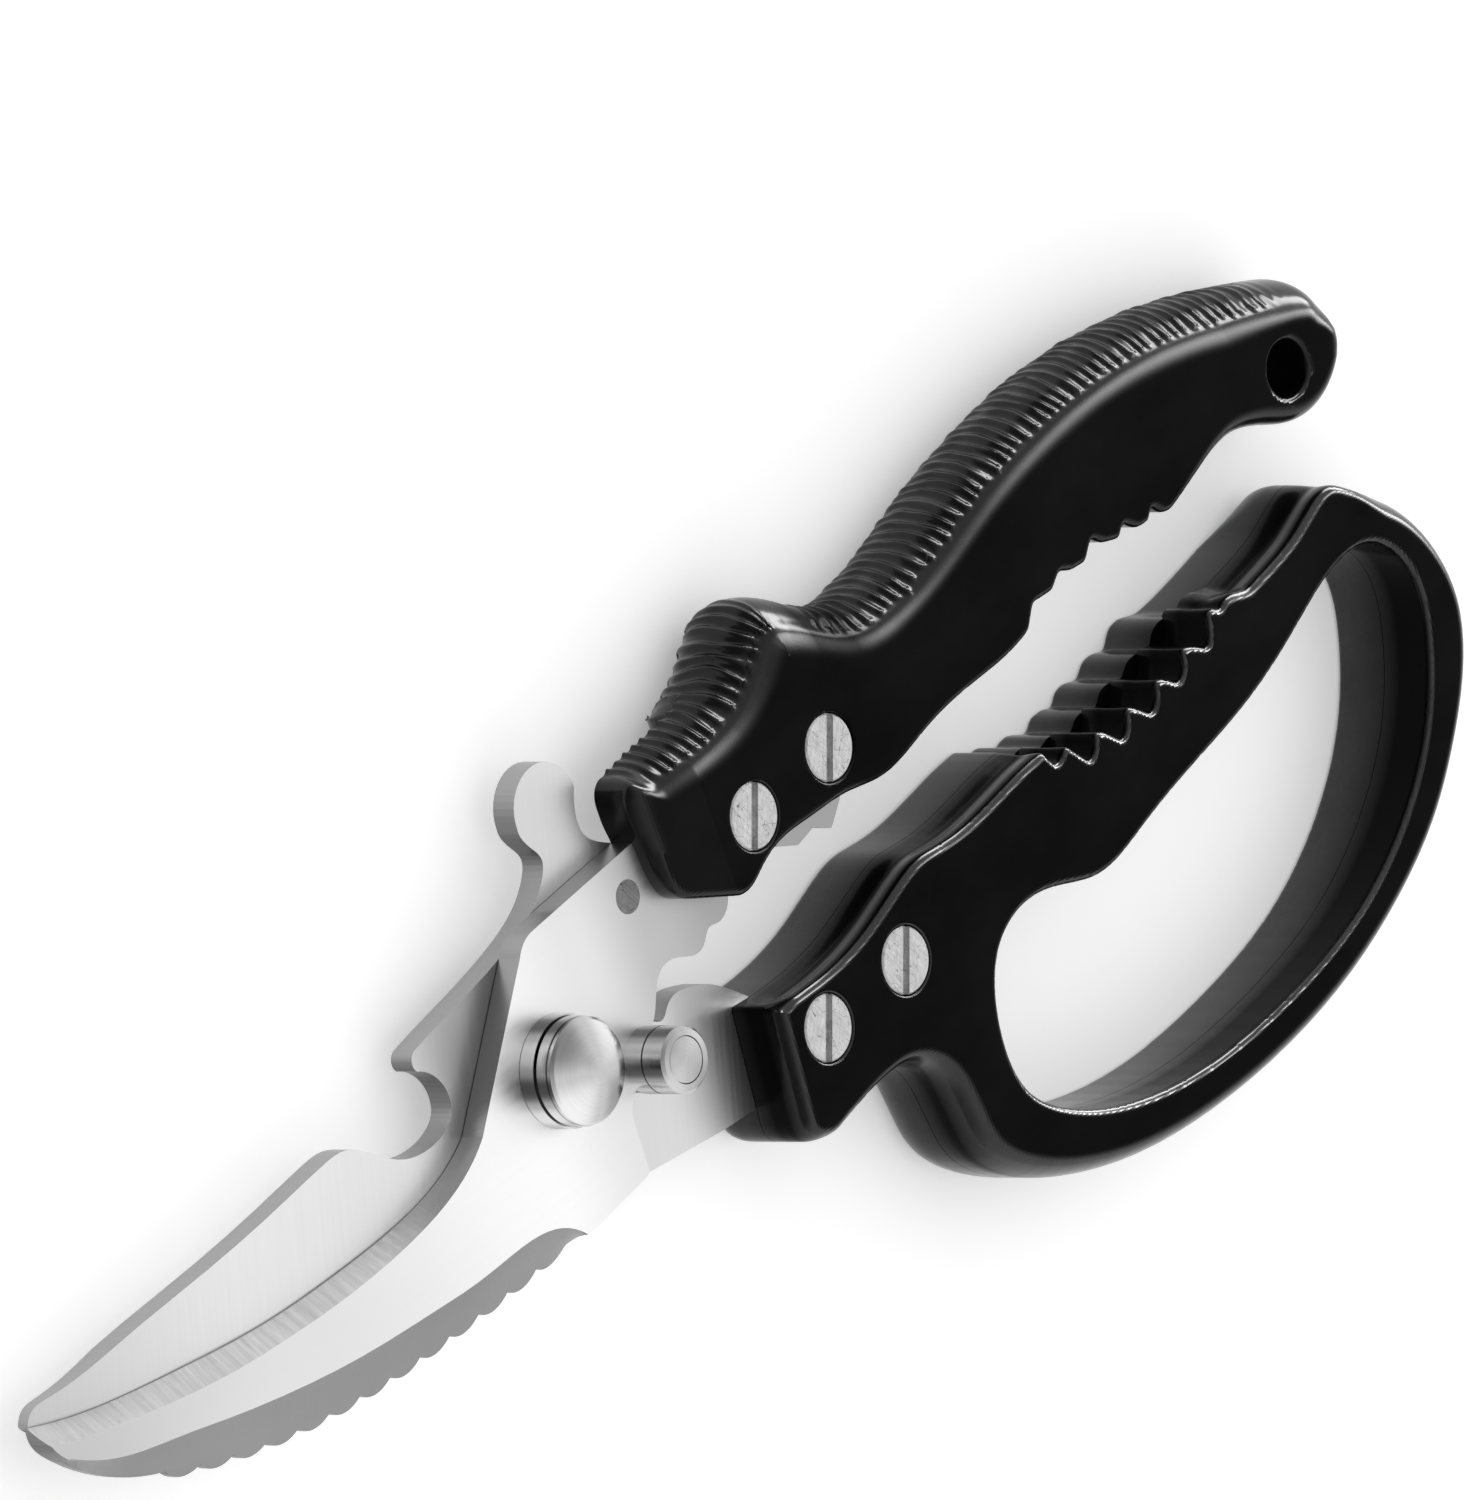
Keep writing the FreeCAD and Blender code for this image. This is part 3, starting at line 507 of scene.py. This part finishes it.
def flat_plate(name, loops, low, high):
    """Mesh of the flat plate with these loops, between two heights."""
    curve = bpy.data.curves.new(name, "CURVE")
    curve.dimensions = "2D"
    curve.fill_mode = "BOTH"
    curve.extrude = (high - low) / 2
    for loop in loops:
        spline = curve.splines.new("POLY")
        spline.points.add(len(loop) - 1)
        spline.points.foreach_set("co", np.column_stack([loop, np.zeros(len(loop)),
                                                         np.ones(len(loop))]).ravel())
        spline.use_cyclic_u = True
    drawing = bpy.data.objects.new(name + "_drawing", curve)
    bpy.context.scene.collection.objects.link(drawing)
    solid = bpy.data.meshes.new_from_object(drawing)
    weld = bmesh.new()
    weld.from_mesh(solid)
    bmesh.ops.remove_doubles(weld, verts=weld.verts, dist=1e-4)
    bmesh.ops.translate(weld, verts=weld.verts, vec=(0, 0, (high + low) / 2))
    weld.to_mesh(solid)
    weld.free()
    bpy.data.objects.remove(drawing)
    return solid


def even_plate(name, loops, low, high):
    """The same plate as a piece with small even faces."""
    block = bpy.data.objects.new(name, flat_plate(name, loops, low, high))
    bpy.context.scene.collection.objects.link(block)
    remesh = block.modifiers.new("remesh", "REMESH")
    remesh.mode = "VOXEL"
    remesh.voxel_size = VOXEL
    remesh.adaptivity = 0.0
    apply_modifiers(block)
    return block


def apply_modifiers(block):
    """Make what the modifiers give the piece's own mesh."""
    graph = bpy.context.evaluated_depsgraph_get()
    done = bpy.data.meshes.new_from_object(block.evaluated_get(graph))
    block.modifiers.clear()
    block.data = done


def smoothstep(value, low, high):
    """0 below low, 1 above high, and a smooth rise between."""
    part = np.clip((value - low) / (high - low), 0, 1)
    return part * part * (3 - 2 * part)


def on_crown(points):
    """1 on the outer side of the palm handle, 0 on its inner side and at its nose."""
    x, y = points[:, 0], points[:, 1]
    foot = np.interp(x, *CROWN_FOOT)
    return smoothstep(y, foot - 3, foot + 4) * smoothstep(x, 22.5, 27)


def ribbed(points, inward):
    """1 where the crown carries ribs, fading out at its ends."""
    x = points[:, 0]
    facing = smoothstep(-inward[:, 1], 0.1, 0.6)
    return facing * smoothstep(x, x.min() + 0.3, x.min() + 2.0) * (1 - smoothstep(x, 142, 151))


def upper_edges(points):
    """How far in and how far down the palm handle's edges are rounded."""
    x = points[:, 0]
    plain = 0.9
    crown = on_crown(points)
    tail = smoothstep(x, 118, 135) * (1 - crown)
    across = plain + (np.interp(x, *CROWN_WIDTH) - plain) * crown + 1.6 * tail
    down = plain + (HALF_T - SEAM_T - plain) * crown + 2.2 * tail
    return across, down


def toothed(x):
    """1 along the nutcracker teeth."""
    return smoothstep(x, 84, 89) * (1 - smoothstep(x, 120, 125))


def lower_edges(points):
    """A crisp lip over the top edge, a soft outside of the loop, a sloping front end."""
    x, y = points[:, 0], points[:, 1]
    outside = smoothstep(-y, 20, 32) * smoothstep(x, 40, 50) + smoothstep(x, 148, 154)
    outside = np.clip(outside, 0, 1)
    front = 1 - smoothstep(x, 33, 36)
    lip = 1.1 - 0.5 * toothed(x) * smoothstep(y, -10, -9)
    return lip + 1.6 * outside + 0.6 * front, lip + 4.0 * outside + 2.6 * front


def lower_back_edges(points):
    """As the front half, with a round end to the hump behind the finger loop."""
    across, down = lower_edges(points)
    x, y = points[:, 0], points[:, 1]
    hump = smoothstep(x, 134, 143) * (1 - smoothstep(x, 150, 158)) * smoothstep(y, -12, -6)
    return across + 2.4 * hump, down + 4.5 * hump


def lip_groove(points, height):
    """Depth of the hollow behind the lip along the finger handle's top edge."""
    x, y = points[:, 0], points[:, 1]
    depth = 0.5 - 0.45 * toothed(x)
    middle, width = 3.6, 1.7
    top_edge = smoothstep(y, -11, -9) * smoothstep(x, 33, 37) * (1 - smoothstep(x, 143, 148))
    return top_edge * depth * np.exp(-((height - middle) / width) ** 2)


def nose_height(x):
    """Height of the palm handle's front face over its sloping front end."""
    return np.interp(x, *NOSE_SLOPE)


def uneven(run, height, run_scale, height_scale, layer):
    """Smooth noise over the crown. Each layer is another pattern."""
    return np.array([noise.noise((r * run_scale, h * height_scale, layer))
                     for r, h in zip(run, height)])


def ribs(run, height, x):
    """Wavy moulded ribs across the crown, as a height along its outward normal."""
    wander = uneven(run, height, 0.22, 0.16, 3.0) + 0.3 * uneven(run, height, 0.7, 0.3, 9.0)
    wave = 0.5 + 0.5 * np.cos(2 * np.pi * (run / RIB_PITCH + 0.40 * wander))
    strength = 0.85 + 0.5 * uneven(run, height, 0.5, 0.35, 21.0)
    off_bump = smoothstep(np.abs(x - NOSE_BUMP_X), 3.0, 6.0)
    return RIB_HEIGHT * wave ** 1.5 * strength * off_bump


class Outline:
    """All loops of one shell, with what is needed to round its edges."""

    def __init__(self, loops, edges):
        points, normals, runs, across, down = [], [], [], [], []
        for index, loop in enumerate(loops):
            is_outside = index == 0
            if (area(loop) > 0) != is_outside:
                loop = loop[::-1]
            where, inward, run = sampled(loop, OUTLINE_STEP)
            hole_edge = np.full(len(where), 0.8 if perimeter(loop) > 40 else 0.5)
            wide, deep = edges(where) if is_outside else (hole_edge, hole_edge)
            points.append(where)
            normals.append(inward)
            runs.append(run)
            across.append(wide)
            down.append(deep)
        self.points, self.normals = np.vstack(points), np.vstack(normals)
        self.runs = np.concatenate(runs)
        start = np.linalg.norm(self.points - GRIP_MIDDLE, axis=1).argmin()
        self.runs -= self.runs[start]
        self.across, self.down = np.concatenate(across), np.concatenate(down)
        self.outside = self.tree(0, len(points[0]))
        self.holes = self.tree(len(points[0]), len(self.points))

    def tree(self, first, last):
        """Search tree of the outline points with these indices."""
        tree = kdtree.KDTree(last - first)
        for index in range(first, last):
            tree.insert((*self.points[index], 0), index)
        tree.balance()
        return tree

    def closest(self, x, y):
        """Index of the hole's edge close by, or else of the nearest point of the outside."""
        _, index, away = self.holes.find((x, y, 0))
        if index is None or away > HOLE_REACH:
            index = self.outside.find((x, y, 0))[1]
        return index

    def nearest(self, co):
        """Nearest outline point of each vertex, the way inward from it, and the distance."""
        index = np.array([self.closest(x, y) for x, y, _ in co])
        offset = co[:, :2] - self.points[index]
        away = np.linalg.norm(offset, axis=1)
        square = np.maximum(np.einsum("ij,ij->i", offset, self.normals[index]), 0)
        blend = smoothstep(away, 0.3, 0.8)
        way = self.normals[index] * (1 - blend)[:, None]
        way += offset / np.maximum(away, 1e-6)[:, None] * blend[:, None]
        way /= np.linalg.norm(way, axis=1)[:, None]
        return index, way, np.where(away > 0.4, away, square)


def vertex_array(mesh):
    """Vertex places as rows of x, y and height."""
    flat = np.empty(len(mesh.vertices) * 3)
    mesh.vertices.foreach_get("co", flat)
    return flat.reshape(-1, 3)


def refine_crown(block):
    """Halve the faces of the ribbed side, so that the ribs come out clean."""
    co = vertex_array(block.data)
    foot = np.interp(co[:, 0], *CROWN_FOOT)
    chosen = (co[:, 1] > foot - 1) & (co[:, 0] > 25)
    work = bmesh.new()
    work.from_mesh(block.data)
    work.verts.ensure_lookup_table()
    edges = [edge for edge in work.edges if chosen[edge.verts[0].index] and chosen[edge.verts[1].index]]
    bmesh.ops.subdivide_edges(work, edges=edges, cuts=1, use_grid_fill=True)
    work.to_mesh(block.data)
    work.free()


def round_edges(co, outline, low, high, top):
    """Move plate vertices onto rounded edges. Also returns outward normals and edge angles."""
    index, way, distance = outline.nearest(co)
    near, rim_reach = 0.4 * VOXEL, 0.8 * VOXEL
    height = np.where(co[:, 2] > high - near, high, np.where(co[:, 2] < low + near, low, co[:, 2]))
    rim = (co[:, 2] < low + rim_reach) & (distance < rim_reach)
    height = np.where(rim, low, height)
    distance = np.where(rim | (distance < near), 0.0, distance)
    height = low + (height - low) * (top - low) / (high - low)
    wide, deep = outline.across[index], np.minimum(outline.down[index], top - low)
    a = np.clip((wide - distance) / wide, 0, 1)
    b = np.clip((height - (top - deep)) / deep, 0, 1)
    corner = (a > 0) & (b > 0)
    a = np.where(corner & (a >= b), 1.0, a)
    b = np.where(corner & (a < b), 1.0, b)
    a_round = a * np.sqrt(1 - b * b / 2)
    b_round = b * np.sqrt(1 - a * a / 2)
    inside = a > 0
    distance = np.where(inside, wide * (1 - a_round), distance)
    height = np.where(b > 0, top - deep + deep * b_round, height)
    outward = np.column_stack([a_round / wide, b_round / deep])
    outward /= np.maximum(np.linalg.norm(outward, axis=1), 1e-6)[:, None]
    angle = np.degrees(np.arctan2(b_round, np.maximum(a_round, 1e-6)))
    return index, way, distance, height, outward, np.where(inside, angle, 90.0)


def rib_lift(outline, index, x, height, angle):
    """How far the crown rises in its ribs and sinks between them, out to a ragged border."""
    sink = 0.3
    crown = (on_crown(outline.points) * ribbed(outline.points, outline.normals))[index]
    run = outline.runs[index]
    ragged = angle + 7 * np.array([noise.noise((at * 0.35, 5.0, 1.0)) for at in run])
    field = crown * (1 - smoothstep(ragged, 52, 61))
    lift = -sink * crown * (1 - smoothstep(angle, 48, 66))
    chosen = field > 0.01
    lift[chosen] += field[chosen] * ribs(run[chosen], height[chosen], x[chosen])
    return lift


def meet_back_half(co, low):
    """Close the seam of the palm handle's front half wherever the back half lies under it."""
    over_back = (co[:, 2] < low + 0.01) & (co[:, 0] > BACK_START + 1)
    co[over_back, 2] = 0.0


def tuck_front_end(co):
    """Pull the crown of the palm handle's back half in a little at its front end."""
    start, length, depth = co[:, 0].min(), 4, 0.6
    co[:, 1] -= depth * (1 - smoothstep(co[:, 0], start, start + length)) * smoothstep(co[:, 1], 22, 25)


def shape_half(block, outline, is_upper, side, low, high):
    """Turn the even plate into a moulding, still lying with its front or back face up."""
    co = vertex_array(block.data)
    top = nose_height(co[:, 0]) if is_upper and side > 0 else np.full(len(co), high)
    index, way, distance, height, outward, angle = round_edges(co, outline, low, high, top)
    if is_upper:
        lift = rib_lift(outline, index, co[:, 0], side * height, angle)
        distance = distance - lift * outward[:, 0]
        height = height + lift * outward[:, 1] * (height > low + 0.05)
    elif side > 0:
        on_wall = 1 - smoothstep(distance, 0.5, 2.0)
        distance = distance + on_wall * lip_groove(outline.points[index], height)
    edge = distance < outline.across[index]
    co[:, :2] = np.where(edge[:, None], outline.points[index] + way * distance[:, None], co[:, :2])
    co[:, 2] = np.clip(height, low, HALF_T)
    if is_upper and side > 0:
        meet_back_half(co, low)
    if is_upper and side < 0:
        tuck_front_end(co)
    return co


def set_in_place(block, co, side):
    """Move the vertices to their places on the part, in metres."""
    world = np.column_stack([co[:, 0] * MM + PIVOT.x, co[:, 1] * MM + PIVOT.y,
                             side * co[:, 2] * MM + PIVOT.z])
    block.data.vertices.foreach_set("co", world.ravel())
    if side < 0:
        block.data.flip_normals()
    block.data.update()


def make_shell(node, body, side):
    """A handle half: even plate with screw seats, then rounded edges, crown and ribs."""
    loops = [softened(loop, body) for loop in section_loops(node, side * SECTION_HEIGHT)
             if perimeter(loop) > SCREW_BORE_LENGTH]
    low, high = (SEAM_T if side > 0 else 0.0), HALF_T
    block = even_plate(node.replace("_shell", "_moulding"), loops, low, high)
    cut_seats(block, body, side)
    is_upper = body == "upper"
    if is_upper:
        refine_crown(block)
        edges = upper_edges
    else:
        edges = lower_edges if side > 0 else lower_back_edges
    co = shape_half(block, Outline(loops, edges), is_upper, side, low, high)
    set_in_place(block, co, side)
    clean(block)
    if is_upper:
        smooth_ends(block, side)
    block.data.shade_smooth()
    block.data.set_sharp_from_angle(angle=math.radians(50))
    block.data.materials.clear()
    block.data.materials.append(PLASTIC)
    HANDLES.objects.link(block)
    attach(block, body)
    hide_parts(node)


def smooth_ends(block, side):
    """Blend the crown into the palm handle's ends, most of all at the back half's corner."""
    reach, turns = (6.6, 8) if side > 0 else (3.5, 40)
    low_y, tail_x, off_seam = 16, 146, 0.3
    work = bmesh.new()
    work.from_mesh(block.data)
    crown = [vert for vert in work.verts
             if vert.co.y > PIVOT.y + low_y * MM and abs(vert.co.z - PIVOT.z) > off_seam * MM]
    start = min(vert.co.x for vert in work.verts)
    front = [vert for vert in crown if vert.co.x < start + reach * MM]
    tail = [vert for vert in crown if vert.co.x > PIVOT.x + tail_x * MM]
    for verts, count in ((front, turns), (tail, 8)):
        for _ in range(count):
            bmesh.ops.smooth_vert(work, verts=verts, factor=0.5, use_axis_x=True, use_axis_y=True,
                                  use_axis_z=True)
    work.to_mesh(block.data)
    work.free()


def clean(block):
    """Join vertices that met on an edge, and drop faces that closed up or hang by one edge."""
    work = bmesh.new()
    work.from_mesh(block.data)
    bmesh.ops.remove_doubles(work, verts=work.verts, dist=0.015 * MM)
    bmesh.ops.dissolve_degenerate(work, edges=work.edges, dist=0.005 * MM)
    flaps = [face for face in work.faces
             if any(len(edge.link_faces) == 1 for edge in face.edges)
             and any(len(edge.link_faces) > 2 for edge in face.edges)]
    bmesh.ops.delete(work, geom=flaps, context="FACES")
    work.to_mesh(block.data)
    work.free()


def cut_seats(block, body, side):
    """Cut the round seats of the screw heads or nut flanges, with a small chamfer."""
    floor = 2.2 if side > 0 else 1.9
    lip, clearance, sides = 0.2, 0.15, 64
    work = bmesh.new()
    for end in ("front", "rear"):
        first, last = (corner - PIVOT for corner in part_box(f"{body}_handle_{end}_screw"))
        centre = (first + last) / 2 / MM
        seat_r = (last.x - first.x) / 2 / MM + clearance
        mouth_r = seat_r + 1.6 * lip
        rings = []
        for radius, height in ((seat_r, -floor), (seat_r, -lip), (mouth_r, 0.6 * lip), (mouth_r, 1.0)):
            turns = [2 * math.pi * i / sides for i in range(sides)]
            rings.append([work.verts.new((centre.x + radius * math.cos(turn),
                                          centre.y + radius * math.sin(turn), HALF_T + height))
                          for turn in turns])
        for one, two in zip(rings, rings[1:]):
            for i in range(sides):
                j = (i + 1) % sides
                work.faces.new((one[i], one[j], two[j], two[i]))
        work.faces.new(rings[0])
        work.faces.new(rings[-1])
    bmesh.ops.recalc_face_normals(work, faces=work.faces)
    mesh = bpy.data.meshes.new("seat_cutter")
    work.to_mesh(mesh)
    work.free()
    cutter = bpy.data.objects.new("seat_cutter", mesh)
    bpy.context.scene.collection.objects.link(cutter)
    boolean = block.modifiers.new("seats", "BOOLEAN")
    boolean.object = cutter
    boolean.operation = "DIFFERENCE"
    boolean.solver = "MANIFOLD"
    apply_modifiers(block)
    bpy.data.objects.remove(cutter)


# ---- the shears ----
HANDLES = bpy.data.collections.new("handle_mouldings")
bpy.context.scene.collection.children.link(HANDLES)
make_camera()
make_world()
make_floor()
make_strip("shoulder_light", (0.40, 0.46, 0.80), (0.94, 0.30, 0.20), 0.26, 22.0)
make_strip("rib_light", (0.95, 0.55, 0.10), (0.15, 0.98, 0.12), 0.26, 15.0)
bpy.context.scene.view_settings.view_transform = "Standard"

PLASTIC = black_plastic("black_plastic")
# Painted sheen of the blade faces along x: bands of painted reflection and shade, darkest on the back
# blade near where the front blade crosses it and on the tangs.
FRONT_PAINTED_SHEEN = ((0.0, 0.60), (0.3, 0.80), (0.58, 1.0), (0.68, 0.82), (0.76, 0.55), (0.84, 0.40))
BACK_PAINTED_SHEEN = ((0.0, 0.62), (0.3, 0.84), (0.47, 0.84), (0.56, 0.46), (0.62, 0.40), (0.68, 0.74),
              (0.74, 0.78), (0.8, 0.5), (0.86, 0.38))
FRONT_STEEL = blade_steel("front_blade_steel", FRONT_PAINTED_SHEEN, grain=(0.05, 1.2, 1.0), grain_turn=0.0,
                          grain_depth=0.02, rough=0.40, relief=0.006)
BACK_STEEL = blade_steel("back_blade_steel", BACK_PAINTED_SHEEN, grain=(0.05, 1.8, 1.0), grain_turn=70.0,
                         grain_depth=0.05, rough=0.38, relief=0.03)
LATCH_CENTRE = (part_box("latch_button")[0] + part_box("latch_button")[1]) / 2
# Levels of the painted reflection on the pivot's and the latch's faces, and of the painted shade bands on
# their walls.
PIVOT_STEEL = turned_steel("pivot_steel", PIVOT, rough=0.2, painted_band_dark=0.10, bow_radius=5.5,
                           painted_face_stops=((0.0, 0.25), (0.5, 0.62), (1.0, 0.98)))
LATCH_STEEL = turned_steel("latch_steel", LATCH_CENTRE, rough=0.22, painted_band_dark=0.16, bow_radius=4.0,
                           painted_face_stops=((0.0, 0.40), (0.5, 0.55), (1.0, 0.72)))
DARK_STEEL = scuffed_steel("dark_steel", low=0.16, high=0.30)
SCREW_STEEL = scuffed_steel("screw_steel", low=0.42, high=0.80)

dress("front_blade", FRONT_STEEL)
dress("back_blade", BACK_STEEL)
for part_name in ("pivot_bolt", "pivot_base_washer", "pivot_ring", "pivot_back_washer", "pivot_nut"):
    dress(part_name, PIVOT_STEEL)
for part_name in ("latch_collar", "latch_housing", "latch_button", "latch_spring"):
    dress(part_name, LATCH_STEEL)
for part_name in ("blade_flush_pin", "pivot_spring_washer"):
    dress(part_name, DARK_STEEL)
for handle in ("upper", "lower"):
    for end in ("front", "rear"):
        for kind in ("screw", "nut"):
            dress(f"{handle}_handle_{end}_{kind}", SCREW_STEEL)

for handle in ("upper", "lower"):
    for half, half_side in (("front", 1), ("back", -1)):
        make_shell(f"{handle}_handle_{half}_shell", handle, half_side)
